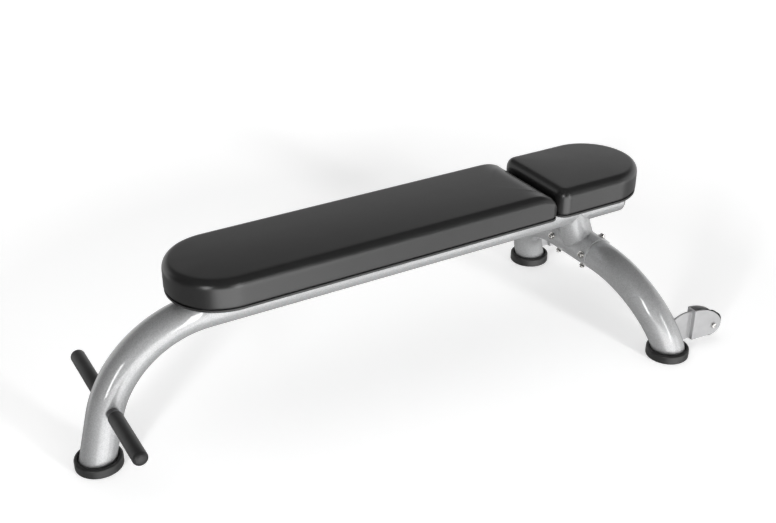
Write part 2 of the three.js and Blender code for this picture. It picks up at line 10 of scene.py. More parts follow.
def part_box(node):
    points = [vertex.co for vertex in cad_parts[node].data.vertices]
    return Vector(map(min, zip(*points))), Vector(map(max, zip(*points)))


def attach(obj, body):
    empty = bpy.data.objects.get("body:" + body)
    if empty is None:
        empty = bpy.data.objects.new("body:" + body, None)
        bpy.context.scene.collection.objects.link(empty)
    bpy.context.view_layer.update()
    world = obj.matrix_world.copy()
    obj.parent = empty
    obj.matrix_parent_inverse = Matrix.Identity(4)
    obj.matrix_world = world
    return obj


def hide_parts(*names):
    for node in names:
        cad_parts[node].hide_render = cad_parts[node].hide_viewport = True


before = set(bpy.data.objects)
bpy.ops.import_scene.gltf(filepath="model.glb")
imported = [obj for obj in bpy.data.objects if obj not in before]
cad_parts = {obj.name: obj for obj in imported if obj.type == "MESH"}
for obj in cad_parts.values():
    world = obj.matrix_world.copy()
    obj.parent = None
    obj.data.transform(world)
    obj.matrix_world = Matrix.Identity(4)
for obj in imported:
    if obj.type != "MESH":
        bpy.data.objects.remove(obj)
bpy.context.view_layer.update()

MM = 0.001
BODY = "bench_frame"
SIDES = {"left": 1, "right": -1}


def centre_of(node):
    low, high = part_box(node)
    return (low + high) / 2


def extent(node, axis):
    """A node's size along x, y or z."""
    low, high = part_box(node)
    return getattr(high, axis) - getattr(low, axis)


def round_angles(count):
    return [2 * math.pi * index / count for index in range(count)]


# -------------------- sizes: taken from the frame where it has them, or chosen here
FOOT_X = centre_of("front_foot_cup").x
REAR_CUP = centre_of("rear_foot_cup_left")
CUP_RADIUS = extent("front_foot_cup", "x") / 2
CUP_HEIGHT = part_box("front_foot_cup")[1].z
TUBE_RADIUS = extent("beam_end_cap", "z") / 2
TUBE_WALL = 3 * MM
TUBE_SIDES = 96
TUBE_END_Z = 3.3 * MM  # where the legs stand inside their cups
GAP = 0.3 * MM

BEAM_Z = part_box("main_frame_tube")[1].z - TUBE_RADIUS
CAP_RIM = 3 * MM
BEAM_END_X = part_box("beam_end_cap")[1].x - CAP_RIM - GAP
BEND_RADIUS = 264 * MM
BEND_ANGLE = math.radians(75.25)
BEND_CENTRE_Z = BEAM_Z - BEND_RADIUS
BEND_END_Z = BEND_CENTRE_Z + BEND_RADIUS * math.cos(BEND_ANGLE)
BEND_END_X = FOOT_X + (BEND_END_Z - CUP_HEIGHT) / math.tan(BEND_ANGLE)
BEND_CENTRE_X = BEND_END_X + BEND_RADIUS * math.sin(BEND_ANGLE)

ARCH_LEAN = math.radians(20.5)
ARCH_BEND_RADIUS = 217.3 * MM
ARCH_FLAT_HALF = 83.7 * MM
ARCH_FOOT = Vector((REAR_CUP.x + CUP_HEIGHT * math.tan(ARCH_LEAN), 0, 0))
ARCH_UP = Vector((-math.sin(ARCH_LEAN), 0, math.cos(ARCH_LEAN)))
ARCH_OUT = Vector((math.cos(ARCH_LEAN), 0, math.sin(ARCH_LEAN)))
ACROSS = Vector((0, 1, 0))
CROWN = ARCH_FOOT + ARCH_UP * ARCH_BEND_RADIUS

SADDLE_WALL = 4.5 * MM
SADDLE_HALF = 75 * MM
SADDLE_EDGE_ANGLE = math.radians(14)
SADDLE_BEVEL = 1.2 * MM
SADDLE_RADIUS = TUBE_RADIUS + GAP + SADDLE_WALL

PEG = centre_of("peg_rod")
PEG_ROD_RADIUS = 14.3 * MM
SLEEVE_RADIUS = 17.2 * MM
SLEEVE_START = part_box("peg_sleeve_left")[0].y
SLEEVE_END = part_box("peg_sleeve_left")[1].y

AXLE = {side: centre_of(f"wheel_tyre_{side}") for side in SIDES}
WHEEL_RADIUS = extent("wheel_tyre_left", "z") / 2
WHEEL_HALF = extent("wheel_tyre_left", "y") / 2
HUB_HALF = 11 * MM
HUB_RADIUS = 23 * MM
HUB_RIM = 20 * MM
HUB_CORE = 12 * MM
HUB_WEB = 3 * MM
BUSH_RADIUS = 8 * MM
BUSH_BORE = 5.12 * MM
FORK_HALF = 15 * MM
FORK_FRONT_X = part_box("wheel_fork_left")[0].x
GUSSET_HALF = 2.5 * MM

PAD_HALF_WIDTH = 127 * MM
PAD_CORNERS = {"main": 24 * MM, "head": 30 * MM}
PAD_EDGE = 17 * MM  # how far the top edge's rounding runs in
PAD_EDGE_DROP = 22 * MM  # and how far it drops
PAD_SWELL = 1.4 * MM  # how far the cloth simulation may move a point
PAD_CROWN = 0.7 * MM
NOSE = {"main": (64 * MM, 54 * MM), "head": (20 * MM, 8 * MM)}  # a square end's rounding: its run and drop
LIP_INSET = 0.8 * MM
GROOVE_INSET = 5 * MM
LIP_HEIGHT = 5.5 * MM

WELD_PITCH = 2.6 * MM
WELD_RADIUS = {"post": 1.4 * MM, "peg": 1.2 * MM, "gusset": 1.8 * MM, "fork": 1.5 * MM}
HEXAGON = [Vector((math.cos(k * math.pi / 3), math.sin(k * math.pi / 3), 0)) for k in range(6)]
CLAMP_BOLT = {"head": 7.2 * MM, "height": 6.5 * MM, "shank": 4 * MM, "socket": 3.5 * MM}
CLAMP_WASHER = {"bore": 4.3 * MM, "radius": 10.3 * MM, "height": 1.8 * MM}
CLAMP_NUT = {"bore": 4.05 * MM, "radius": 7.5 * MM, "height": 6.5 * MM}
PAD_SCREW = {"head": 7 * MM, "height": 3.5 * MM, "shank": 3 * MM, "socket": 2 * MM}
AXLE_SCREW = {"head": 7.2 * MM, "height": 4.5 * MM, "shank": 5 * MM, "socket": 3 * MM}
AXLE_NUT = {"bore": 5.05 * MM, "radius": 9.2 * MM, "height": 8 * MM}

CAMERA_PLACE = Vector((FOOT_X - 0.4393, -2.0444, 1.6062))
CAMERA_TILT = math.radians(61.32)
CAMERA_TURN = math.radians(-30.17)
CAMERA_LENS = 51.94  # mm, on a sensor 36 mm wide
FLOOR_GLOW = 0.45
STRIP_POWER = 380
TOP_POWER = 60


# -------------------- material tools
class Shader:
    """A node material being built: short calls to add nodes and link them."""

    def __init__(self, name, color, roughness, metallic=0.0, **sockets):
        self.material = bpy.data.materials.new(name)
        self.material.use_nodes = True
        self.tree = self.material.node_tree
        self.bsdf = self.tree.nodes["Principled BSDF"]
        self.bsdf.inputs["Base Color"].default_value = (*color, 1)
        self.bsdf.inputs["Roughness"].default_value = roughness
        self.bsdf.inputs["Metallic"].default_value = metallic
        for socket, value in sockets.items():
            self.bsdf.inputs[socket.replace("_", " ")].default_value = value
        self.place = self.node("ShaderNodeTexCoord").outputs["Object"]
        self.normal = None

    def node(self, kind, **values):
        made = self.tree.nodes.new(kind)
        for key, value in values.items():
            if hasattr(made, key):
                setattr(made, key, value)
            else:
                made.inputs[key.replace("_", " ")].default_value = value
        return made

    def link(self, start, end):
        self.tree.links.new(start, end)

    def stretched(self, scale):
        mapping = self.node("ShaderNodeMapping")
        mapping.inputs["Scale"].default_value = scale
        self.link(self.place, mapping.inputs["Vector"])
        return mapping.outputs["Vector"]

    def noise(self, scale, detail=3.0, stretch=None):
        made = self.node("ShaderNodeTexNoise", Scale=scale, Detail=detail)
        self.link(self.stretched(stretch) if stretch else self.place, made.inputs["Vector"])
        return made.outputs["Fac"]

    def cells(self, scale, feature="F1", output="Distance"):
        made = self.node("ShaderNodeTexVoronoi", feature=feature, Scale=scale)
        self.link(self.place, made.inputs["Vector"])
        return made.outputs[output]

    def remap(self, value, low, high, start=0.0, end=1.0):
        made = self.node("ShaderNodeMapRange")
        for index, number in enumerate((start, end, low, high), start=1):
            made.inputs[index].default_value = number
        self.link(value, made.inputs[0])
        return made.outputs[0]

    def ramp(self, value, *stops):
        made = self.node("ShaderNodeValToRGB")
        elements = made.color_ramp.elements
        while len(elements) < len(stops):
            elements.new(0.5)
        for element, (position, color) in zip(elements, stops):
            element.position = position
            element.color = (*color, 1)
        self.link(value, made.inputs["Fac"])
        return made.outputs["Color"]

    def into(self, value, socket):
        self.link(value, self.bsdf.inputs[socket])

    def mottle(self, scale, low, high, edge=0.3):
        """Lets the colour drift between two colours in soft patches."""
        self.into(self.ramp(self.noise(scale), (edge, low), (1 - edge, high)), "Base Color")

    def vary_roughness(self, scale, low, high, stretch=None):
        self.into(self.remap(self.noise(scale, stretch=stretch), low, high), "Roughness")

    def bump(self, value, strength, distance):
        made = self.node("ShaderNodeBump", Strength=strength, Distance=distance)
        self.link(value, made.inputs["Height"])
        if self.normal is not None:
            self.link(self.normal, made.inputs["Normal"])
        self.normal = made.outputs["Normal"]
        self.link(self.normal, self.bsdf.inputs["Normal"])


def grey(tone):
    return (tone, tone, tone)


def silver_paint():
    """Metallic silver under a clear coat: small flakes and a faint grain."""
    made = Shader(
        "silver_paint", (0.56, 0.565, 0.57), 0.6, 0.75, Coat_Weight=1.0, Coat_Roughness=0.03, Coat_IOR=1.75
    )
    flakes = made.cells(550, output="Color")
    made.into(made.ramp(flakes, (0.0, (0.47, 0.475, 0.48)), (1.0, (0.65, 0.655, 0.66))), "Base Color")
    made.vary_roughness(60, 0.56, 0.64)
    made.bump(made.noise(900, 1.0), 0.1, 0.0002)
    return made.material


def bracket_paint():
    """Satin silver paint on the wheel and pad brackets."""
    made = Shader("bracket_paint", (0.53, 0.53, 0.535), 0.45, 0.55)
    made.mottle(35, (0.5, 0.5, 0.505), (0.56, 0.56, 0.565))
    made.vary_roughness(90, 0.4, 0.52)
    made.bump(made.noise(900, 2.0), 0.08, 0.0003)
    return made.material


def bright_steel():
    """Bright plated fasteners, a little mottled, with a very fine grain."""
    made = Shader("bright_steel", (0.72, 0.71, 0.69), 0.18, 1.0)
    made.mottle(120, (0.62, 0.61, 0.59), (0.78, 0.77, 0.75), edge=0.35)
    made.vary_roughness(250, 0.07, 0.16)
    made.bump(made.noise(2500, 1.0), 0.05, 0.0001)
    return made.material


def peg_steel():
    """Darker satin steel of the peg rod, its grain drawn out along the rod."""
    made = Shader("peg_steel", (0.2, 0.2, 0.205), 0.42, 0.9)
    made.mottle(200, (0.17, 0.17, 0.175), (0.24, 0.24, 0.245))
    made.vary_roughness(300, 0.34, 0.52, stretch=(1, 0.05, 1))
    made.bump(made.noise(900, 2.0, stretch=(1, 0.03, 1)), 0.08, 0.0002)
    return made.material


def rubber(name, tone, gloss, specular):
    """Moulded rubber: slightly uneven, with a fine grain."""
    made = Shader(name, grey(tone), gloss, Specular_IOR_Level=specular)
    made.mottle(40, grey(tone * 0.83), grey(tone * 1.2))
    made.vary_roughness(150, gloss - 0.06, gloss + 0.06)
    made.bump(made.noise(1400, 2.0), 0.12, 0.0003)
    return made.material


def plastic(name, tone):
    """Moulded plastic with a spark-eroded texture."""
    made = Shader(name, grey(tone), 0.45)
    made.mottle(60, grey(tone * 0.85), grey(tone * 1.2))
    made.vary_roughness(300, 0.38, 0.55)
    made.bump(made.noise(1800, 1.0), 0.12, 0.0002)
    return made.material


def vinyl(name, tone, gloss):
    """Stretched upholstery vinyl: a leather grain of small cells with soft creases between them."""
    made = Shader(name, grey(tone), gloss, Specular_IOR_Level=0.8)
    made.mottle(14, grey(tone * 0.9), grey(tone * 1.1), edge=0.35)
    made.vary_roughness(45, gloss - 0.02, gloss + 0.03)
    made.bump(made.cells(750, "DISTANCE_TO_EDGE"), 0.1, 0.0003)
    made.bump(made.noise(2400, 2.0), 0.06, 0.0002)
    return made.material


MATERIALS = {
    "silver_paint": silver_paint(),
    "bracket_paint": bracket_paint(),
    "bright_steel": bright_steel(),
    "peg_steel": peg_steel(),
    "black_rubber": rubber("black_rubber", 0.024, 0.4, 0.5),
    "black_plastic": plastic("black_plastic", 0.02),
    "grey_plastic": plastic("grey_plastic", 0.18),
    "black_vinyl": vinyl("black_vinyl", 0.012, 0.29),
    "board_vinyl": vinyl("board_vinyl", 0.012, 0.4),
}
TYRE_RUBBER = rubber("tyre_rubber", 0.022, 0.7, 0.15)


# -------------------- mesh tools
def add_object(name, data):
    made = bpy.data.objects.new(name, data)
    bpy.context.collection.objects.link(made)
    return made


def mesh_object(name, verts, faces, sharp=35):
    """A closed mesh object with its faces turned out, smooth apart from edges over the sharp angle."""
    mesh = bpy.data.meshes.new(name)
    mesh.from_pydata([tuple(v) for v in verts], [], faces)
    made = bmesh.new()
    made.from_mesh(mesh)
    bmesh.ops.remove_doubles(made, verts=made.verts, dist=1e-6)
    bmesh.ops.recalc_face_normals(made, faces=made.faces)
    made.to_mesh(mesh)
    made.free()
    smooth(mesh, sharp)
    return add_object(name, mesh)


def smooth(mesh, sharp=35):
    mesh.shade_smooth()
    mesh.set_sharp_from_angle(angle=math.radians(sharp))


def loft(rings, closed=False):
    """Vertices and faces through equal rings of points, capped at both ends unless it closes on itself."""
    count = len(rings[0])
    verts = [point for ring in rings for point in ring]
    faces = []
    spans = len(rings) if closed else len(rings) - 1
    for span in range(spans):
        here, there = span * count, (span + 1) % len(rings) * count
        for index in range(count):
            after = (index + 1) % count
            faces.append((here + index, here + after, there + after, there + index))
    if not closed:
        faces.append(tuple(range(count)))
        faces.append(tuple(range(len(verts) - count, len(verts))))
    return verts, faces


def filleted(points, steps=5):
    """A 2-D outline from (u, v, fillet) corners, each rounded by its fillet."""
    outline = []
    for index, (u, v, fillet) in enumerate(points):
        corner = Vector((u, v))
        if fillet <= 0:
            outline.append(corner)
            continue
        before = (Vector(points[index - 1][:2]) - corner).normalized()
        after = (Vector(points[(index + 1) % len(points)][:2]) - corner).normalized()
        half = math.acos(max(-1, min(1, before.dot(after)))) / 2
        reach = fillet / math.tan(half)
        centre = corner + (before + after).normalized() * (fillet / math.sin(half))
        start, end = corner + before * reach - centre, corner + after * reach - centre
        sweep = start.angle_signed(end)
        for step in range(steps + 1):
            turn = -sweep * step / steps
            spun = Vector((
                start.x * math.cos(turn) - start.y * math.sin(turn),
                start.x * math.sin(turn) + start.y * math.cos(turn),
            ))
            outline.append(centre + spun)
    return outline


def axes_from(direction):
    """A rotation that takes +Z to the direction."""
    return direction.to_track_quat("Z", "Y").to_matrix()


def turned(name, profile, at, direction, segments):
    """A turned piece: a closed (radius, height) profile spun about the direction through a point."""
    rings = []
    for angle in round_angles(segments):
        rings.append([Vector((p.x * math.cos(angle), p.x * math.sin(angle), p.y)) for p in profile])
    verts, faces = loft(rings, closed=True)
    turn = axes_from(direction)
    piece = mesh_object(name, [turn @ v + at for v in verts], faces)
    clean_axis(piece.data)
    return piece


def clean_axis(mesh):
    """Dissolves the slivers that a spun profile leaves on its axis."""
    made = bmesh.new()
    made.from_mesh(mesh)
    bmesh.ops.dissolve_degenerate(made, dist=1e-7, edges=made.edges)
    bmesh.ops.recalc_face_normals(made, faces=made.faces)
    made.to_mesh(mesh)
    made.free()


def swept_tube(name, stations):
    """A frame tube through (point, normal, binormal) stations, cut level where it stands in a cup."""
    def rings(size):
        made = []
        for point, normal, binormal in stations:
            ring = []
            for angle in round_angles(TUBE_SIDES):
                ring.append(point + normal * (size * math.cos(angle)) + binormal * (size * math.sin(angle)))
            made.append(ring)
        for ring, (point, normal, binormal) in ((made[0], stations[0]), (made[-1], stations[-1])):
            along = normal.cross(binormal)
            if point.z < CUP_HEIGHT:
                ring[:] = [p + along * ((TUBE_END_Z - p.z) / along.z) for p in ring]
        return made

    outer, inner = rings(TUBE_RADIUS), rings(TUBE_RADIUS - TUBE_WALL)
    verts, faces = loft(outer + inner[::-1], closed=True)
    return mesh_object(name, verts, faces, 50)


def evaluated_mesh(piece):
    bpy.context.view_layer.update()
    graph = bpy.context.evaluated_depsgraph_get()
    return bpy.data.meshes.new_from_object(piece.evaluated_get(graph))


def apply_modifiers(piece):
    made = evaluated_mesh(piece)
    piece.modifiers.clear()
    old = piece.data
    piece.data = made
    made.name = piece.name
    bpy.data.meshes.remove(old)


def without(piece, *tools):
    """The piece with the tools cut out of it. The tools are used up."""
    for tool in tools:
        boolean = piece.modifiers.new("cut", "BOOLEAN")
        boolean.operation = "DIFFERENCE"
        boolean.solver = "EXACT"
        boolean.object = tool
    apply_modifiers(piece)
    for tool in tools:
        bpy.data.objects.remove(tool)
    smooth(piece.data)
    return piece


def bevelled(piece, width, segments, angle=40):
    """Softens the edges that turn by more than the angle, in degrees."""
    bevel = piece.modifiers.new("edges", "BEVEL")
    bevel.width = width
    bevel.segments = segments
    bevel.limit_method = "ANGLE"
    bevel.angle_limit = math.radians(angle)
    bevel.harden_normals = True
    return piece


def finish_with(piece, material):
    piece.data.materials.clear()
    piece.data.materials.append(material)


def dress(piece, slot, *nodes, body=BODY):
    """Gives a piece its material, hides the nodes that it stands for and hangs it on the body that it rides
    on.
    """
    finish_with(piece, MATERIALS[slot])
    if nodes:
        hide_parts(*nodes)
    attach(piece, body)


def hex_prism(name, levels, at, direction, sharp=35):
    """A six-sided prism along the direction, through (height, corner radius) levels."""
    turn = axes_from(direction)
    rings = [[turn @ (c * radius + Vector((0, 0, z))) + at for c in HEXAGON] for z, radius in levels]
    verts, faces = loft(rings)
    return mesh_object(name, verts, faces, sharp)


# -------------------- tubes
def main_stations():
    """The main tube's sections: up the front leg, round the bend, along the beam."""
    rise = Vector((math.cos(BEND_ANGLE), 0, math.sin(BEND_ANGLE)))
    bend_end = Vector((BEND_END_X, 0, BEND_END_Z))
    above_end = 8 * MM  # the end ring is slid down to its level cut, so it starts a little above it
    foot = bend_end - rise * ((BEND_END_Z - TUBE_END_Z - above_end) / rise.z)
    stations = [(foot, Vector((-rise.z, 0, rise.x)), ACROSS)]
    steps = 40
    for step in range(steps + 1):
        angle = BEND_ANGLE * (1 - step / steps)
        out = Vector((-math.sin(angle), 0, math.cos(angle)))
        centre = Vector((BEND_CENTRE_X, 0, BEND_CENTRE_Z))
        stations.append((centre + out * BEND_RADIUS, out, ACROSS))
    end = Vector((BEAM_END_X, 0, BEAM_Z))
    beam_steps = 12
    start = stations[-1][0]
    for step in range(1, beam_steps + 1):
        stations.append((start.lerp(end, step / beam_steps), Vector((0, 0, 1)), ACROSS))
    return stations


def arch_stations():
    """The arch's sections, from the right foot over the crown to the left foot."""
    stations = []
    steps = 40
    first_height = 12 * MM / math.cos(ARCH_LEAN)
    first = math.asin(first_height / ARCH_BEND_RADIUS)
    for side in (-1, 1):
        for step in range(steps + 1):
            part = step / steps if side < 0 else 1 - step / steps
            angle = first + (math.pi / 2 - first) * part
            out = ACROSS * (side * math.cos(angle)) + ARCH_UP * math.sin(angle)
            centre = ARCH_FOOT + ACROSS * (side * ARCH_FLAT_HALF)
            stations.append((centre + out * ARCH_BEND_RADIUS, out, ARCH_OUT))
    return stations


def post_surface(angle, radius=TUBE_RADIUS):
    """A point of the post's wall in the crown's frame, without its height."""
    return ARCH_OUT * (radius * math.cos(angle)) + ACROSS * (radius * math.sin(angle))


def post_height_at_beam(angle, radius):
    """How far up the leaning plane the post's wall meets the beam."""
    side = CROWN + post_surface(angle, radius)
    drop = math.sqrt(max(0, TUBE_RADIUS ** 2 - side.y ** 2))
    return (BEAM_Z - drop - side.z) / ARCH_UP.z


def post_height_at_saddle(angle, radius):
    """How far up the leaning plane the post's wall meets the saddle."""
    return math.sqrt(SADDLE_RADIUS ** 2 - (radius * math.cos(angle)) ** 2)


def make_post():
    """The post: a short leaning tube, its ends coped to the saddle and the beam."""
    rings = []
    levels = 6
    for radius, order in ((TUBE_RADIUS, 1), (TUBE_RADIUS - TUBE_WALL, -1)):
        block = []
        for level in range(levels + 1):
            ring = []
            for angle in round_angles(TUBE_SIDES):
                low = post_height_at_saddle(angle, radius)
                high = post_height_at_beam(angle, radius)
                height = low + (high - low) * level / levels
                ring.append(CROWN + post_surface(angle, radius) + ARCH_UP * height)
            block.append(ring)
        rings += block[::order]
    verts, faces = loft(rings, closed=True)
    dress(mesh_object("post_skin", verts, faces, 50), "silver_paint", "post_tube")


def make_frame_tubes():
    dress(swept_tube("main_tube_skin", main_stations()), "silver_paint", "main_frame_tube")
    dress(swept_tube("arch_skin", arch_stations()), "silver_paint", "rear_arch")
    make_post()
    plug = TUBE_RADIUS - TUBE_WALL - GAP
    depth = 16 * MM
    profile = filleted([
        (0, -depth, 0), (plug, -depth, 1 * MM), (plug, 0, 0), (TUBE_RADIUS, 0, 0.4 * MM),
        (TUBE_RADIUS, CAP_RIM, 1.4 * MM), (0, CAP_RIM, 0),
    ])
    at = Vector((BEAM_END_X + GAP, 0, BEAM_Z))
    cap = turned("beam_cap_skin", profile, at, Vector((1, 0, 0)), 96)
    dress(cap, "black_plastic", "beam_end_cap")


# -------------------- saddle and its bolts
def thick_outline(path, thickness):
    """A closed outline around a 2-D path, thickness to its left."""
    left = []
    for index, point in enumerate(path):
        before = path[max(index - 1, 0)]
        after = path[min(index + 1, len(path) - 1)]
        along = (after - before).normalized()
        left.append(point + Vector((-along.y, along.x)) * thickness)
    return path + left[::-1]


def make_saddle():
    """The saddle: a half shell on the arch's crown, its long edges turned out in a small lip."""
    inner = TUBE_RADIUS + GAP
    lip_run = 2.7 * MM
    lip_rise = 1.6 * MM
    steps = 48
    path = []
    for step in range(steps + 1):
        angle = math.pi - SADDLE_EDGE_ANGLE - (math.pi - 2 * SADDLE_EDGE_ANGLE) * step / steps
        path.append(Vector((math.cos(angle), math.sin(angle))) * inner)
    lips = []
    for side, edge in ((-1, path[0]), (1, path[-1])):
        out = edge.normalized()
        along = Vector((-out.y, out.x)) * side
        lips.append([edge - along * (lip_run * part) + out * (lip_rise * part ** 2) for part in (0.5, 1)])
    path = lips[0][::-1] + path + lips[1]
    section = thick_outline(path, SADDLE_WALL)
    rings = []
    for y in (-SADDLE_HALF, SADDLE_HALF):
        rings.append([CROWN + ARCH_OUT * p.x + ACROSS * y + ARCH_UP * p.y for p in section])
    verts, faces = loft(rings)
    piece = mesh_object("saddle_skin", verts, faces)
    bevelled(piece, SADDLE_BEVEL, 4, 50)
    dress(piece, "silver_paint", "post_saddle")


def socket_bolt(name, at, direction, length, head, height, shank, socket):
    """A socket-headed bolt whose seat is at the point and whose head points along the direction."""
    profile = filleted([
        (0, -length, 0), (shank, -length, 0.6 * MM), (shank, 0, 0), (head, 0, 0.3 * MM),
        (head, height, height * 0.3), (0, height, 0),
    ], 4)
    piece = turned(name, profile, at, direction, 48)
    levels = ((height * 0.35, socket), (height * 2, socket))
    return without(piece, hex_prism(f"{name}_socket", levels, at, direction))


def flat_ring(name, at, direction, bore, radius, height):
    """A washer that stands on the point along the direction."""
    profile = filleted([
        (bore, 0, 0), (radius, 0, 0.3 * MM), (radius, height, 0.5 * MM), (bore, height, 0.2 * MM),
    ], 3)
    return turned(name, profile, at, direction, 48)


def hex_nut(name, at, direction, bore, radius, height):
    """A hexagonal nut with chamfered corners."""
    end = radius * 0.93
    levels = ((0, end), (height * 0.1, radius), (height * 0.9, radius), (height, end))
    nut = hex_prism(name, levels, at, direction, 20)
    low, high = -height, 2 * height
    drill = [Vector((0, low)), Vector((bore, low)), Vector((bore, high)), Vector((0, high))]
    hole = turned(f"{name}_hole", drill, at, direction, 32)
    return bevelled(without(nut, hole), 0.3 * MM, 2, 30)


def make_saddle_fasteners():
    """Four bolts through the saddle and the arch, each with a washer and a nut."""
    washer_top = CLAMP_WASHER["height"] + 0.1 * MM
    past_tube = 11 * MM
    for place in ("front", "rear"):
        for side in SIDES:
            name = f"{place}_{side}"
            washer = centre_of(f"saddle_washer_{name}")
            axis_point = Vector((CROWN.x, washer.y, CROWN.z))
            outward = (washer - axis_point).normalized()
            seat = axis_point + outward * (SADDLE_RADIUS + GAP)
            ring = flat_ring(f"clamp_washer_{name}", seat, outward, **CLAMP_WASHER)
            dress(ring, "bright_steel", f"saddle_washer_{name}")
            head_seat = seat + outward * washer_top
            length = (head_seat - axis_point).length + TUBE_RADIUS + past_tube
            bolt = socket_bolt(f"clamp_bolt_{name}", head_seat, outward, length, **CLAMP_BOLT)
            dress(bolt, "bright_steel", f"saddle_bolt_{name}")
            nut_seat = axis_point - outward * (TUBE_RADIUS + 2 * GAP)
            nut = hex_nut(f"clamp_nut_{name}", nut_seat, -outward, **CLAMP_NUT)
            dress(nut, "bright_steel", f"saddle_nut_{name}")


# -------------------- weld beads
def weld_bead(name, points, radius, closed=True):
    """A rippled bead along a curve, its section half sunk in the joint."""
    count = len(points)
    leaning = Vector((0.31, 0.11, 0.94))  # along no bead, so that it can set out each section
    run = 0.0
    rings = []
    for index, point in enumerate(points):
        before = points[index - 1] if closed or index else point
        after = points[(index + 1) % count] if closed or index < count - 1 else point
        run += (point - points[index - 1]).length if index else 0
        along = (after - before).normalized()
        side = along.cross(leaning).normalized()
        up = side.cross(along)
        ripple = 0.9 + 0.12 * abs(math.sin(math.pi * run / WELD_PITCH))
        ring = []
        for angle in round_angles(12):
            ring.append(point + (side * math.cos(angle) + up * math.sin(angle)) * (radius * ripple))
        rings.append(ring)
    verts, faces = loft(rings, closed)
    dress(mesh_object(name, verts, faces, 60), "silver_paint")


def peg_weld_points(side):
    """Where the peg rod comes out of one side of the main tube's bend."""
    points = []
    ring_radius = PEG_ROD_RADIUS + 0.6 * MM
    for angle in round_angles(160):
        x = PEG.x + ring_radius * math.cos(angle)
        z = PEG.z + ring_radius * math.sin(angle)
        off = math.hypot(x - BEND_CENTRE_X, z - BEND_CENTRE_Z) - BEND_RADIUS
        y = math.sqrt(TUBE_RADIUS ** 2 - off ** 2)
        points.append(Vector((x, side * y, z)))
    return points


def gusset_weld_points(side, face):
    """Where one face of a gusset meets the back of its leg, from its foot to its tip."""
    points = []
    low, high = (corner.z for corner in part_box("wheel_gusset_left"))
    start = low + 1 * MM
    rise = high - 12 * MM - low
    y = abs(AXLE["left"].y) + face * GUSSET_HALF
    count = 90
    for index in range(count + 1):
        up = (start + rise * index / count) / math.cos(ARCH_LEAN)
        reach = math.hypot(y - ARCH_FLAT_HALF, up) - ARCH_BEND_RADIUS
        out = math.sqrt(max(0, TUBE_RADIUS ** 2 - reach ** 2))
        point = ARCH_FOOT + ARCH_UP * (up - out * math.tan(ARCH_LEAN)) + ARCH_OUT * out
        points.append(point + ACROSS * (side * y))
    return points


def make_welds():
    """Beads round the post's two ends and the peg rod, and along the gussets and forks."""
    at_saddle, at_beam = [], []
    for angle in round_angles(220):
        wall = CROWN + post_surface(angle)
        at_saddle.append(wall + ARCH_UP * post_height_at_saddle(angle, TUBE_RADIUS))
        at_beam.append(wall + ARCH_UP * post_height_at_beam(angle, TUBE_RADIUS))
    weld_bead("weld_post_saddle", at_saddle, WELD_RADIUS["post"])
    weld_bead("weld_post_beam", at_beam, WELD_RADIUS["post"])
    for name, side in SIDES.items():
        weld_bead(f"weld_peg_{name}", peg_weld_points(side), WELD_RADIUS["peg"])
        low, high = (corner.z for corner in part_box(f"wheel_gusset_{name}"))
        margin = 2 * MM
        steps = 80
        heights = [low + margin + (high - low - 2 * margin) * step / steps for step in range(steps + 1)]
        for label, face in (("inner", -1), ("outer", 1)):
            curve = gusset_weld_points(side, face)
            weld_bead(f"weld_gusset_{name}_{label}", curve, WELD_RADIUS["gusset"], False)
            y = AXLE[name].y + side * face * GUSSET_HALF
            line = [Vector((FORK_FRONT_X - 0.2 * MM, y, z)) for z in heights]
            weld_bead(f"weld_fork_{name}_{label}", line, WELD_RADIUS["fork"], False)


# -------------------- feet and pegs
def make_cups():
    """The rubber foot cups, each with a rounded rim round its recess."""
    recess = 47 * MM
    recess_z = CUP_HEIGHT - 9 * MM
    profile = filleted([
        (0, 0, 0), (CUP_RADIUS, 0, 2.5 * MM), (CUP_RADIUS, CUP_HEIGHT, 5 * MM),
        (recess, CUP_HEIGHT, 1.5 * MM), (recess, recess_z, 1 * MM), (0, recess_z, 0),
    ], 7)
    for node in ("front_foot_cup", "rear_foot_cup_left", "rear_foot_cup_right"):
        at = centre_of(node)
        at.z = 0
        cup = turned(f"{node}_skin", profile, at, Vector((0, 0, 1)), 96)
        dress(cup, "black_rubber", node)


def sleeve_profile(rod_half):
    """A peg sleeve's section: its bore, a rounded rim at the frame, and a domed tip."""
    bore = PEG_ROD_RADIUS + GAP
    rim, rim_steps = 1.2 * MM, 4
    dome, dome_steps = 11 * MM, 14
    profile = [Vector((bore, SLEEVE_START))]
    for step in range(rim_steps + 1):
        angle = math.pi / 2 * step / rim_steps
        profile.append(Vector((
            SLEEVE_RADIUS - rim + rim * math.sin(angle),
            SLEEVE_START + rim - rim * math.cos(angle),
        )))
    for step in range(dome_steps + 1):
        angle = math.pi / 2 * step / dome_steps
        radius = SLEEVE_RADIUS * math.cos(angle) ** 0.8 if step < dome_steps else 0
        profile.append(Vector((radius, SLEEVE_END - dome + dome * math.sin(angle) ** 0.9)))
    return profile + [Vector((0, rod_half + GAP)), Vector((bore, rod_half + GAP))]


def make_pegs():
    rod_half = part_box("peg_rod")[1].y
    rod = filleted([
        (0, -rod_half, 0), (PEG_ROD_RADIUS, -rod_half, 1 * MM),
        (PEG_ROD_RADIUS, rod_half, 1 * MM), (0, rod_half, 0),
    ])
    dress(turned("peg_rod_skin", rod, PEG, ACROSS, 64), "peg_steel", "peg_rod")
    for name, side in SIDES.items():
        sleeve = turned(f"peg_grip_{name}", sleeve_profile(rod_half), PEG, ACROSS * side, 64)
        dress(sleeve, "black_rubber", f"peg_sleeve_{name}")


# -------------------- pads
def between(start, end, steps):
    """The points of a straight run, without its two ends."""
    return [start.lerp(end, step / steps) for step in range(1, steps)]


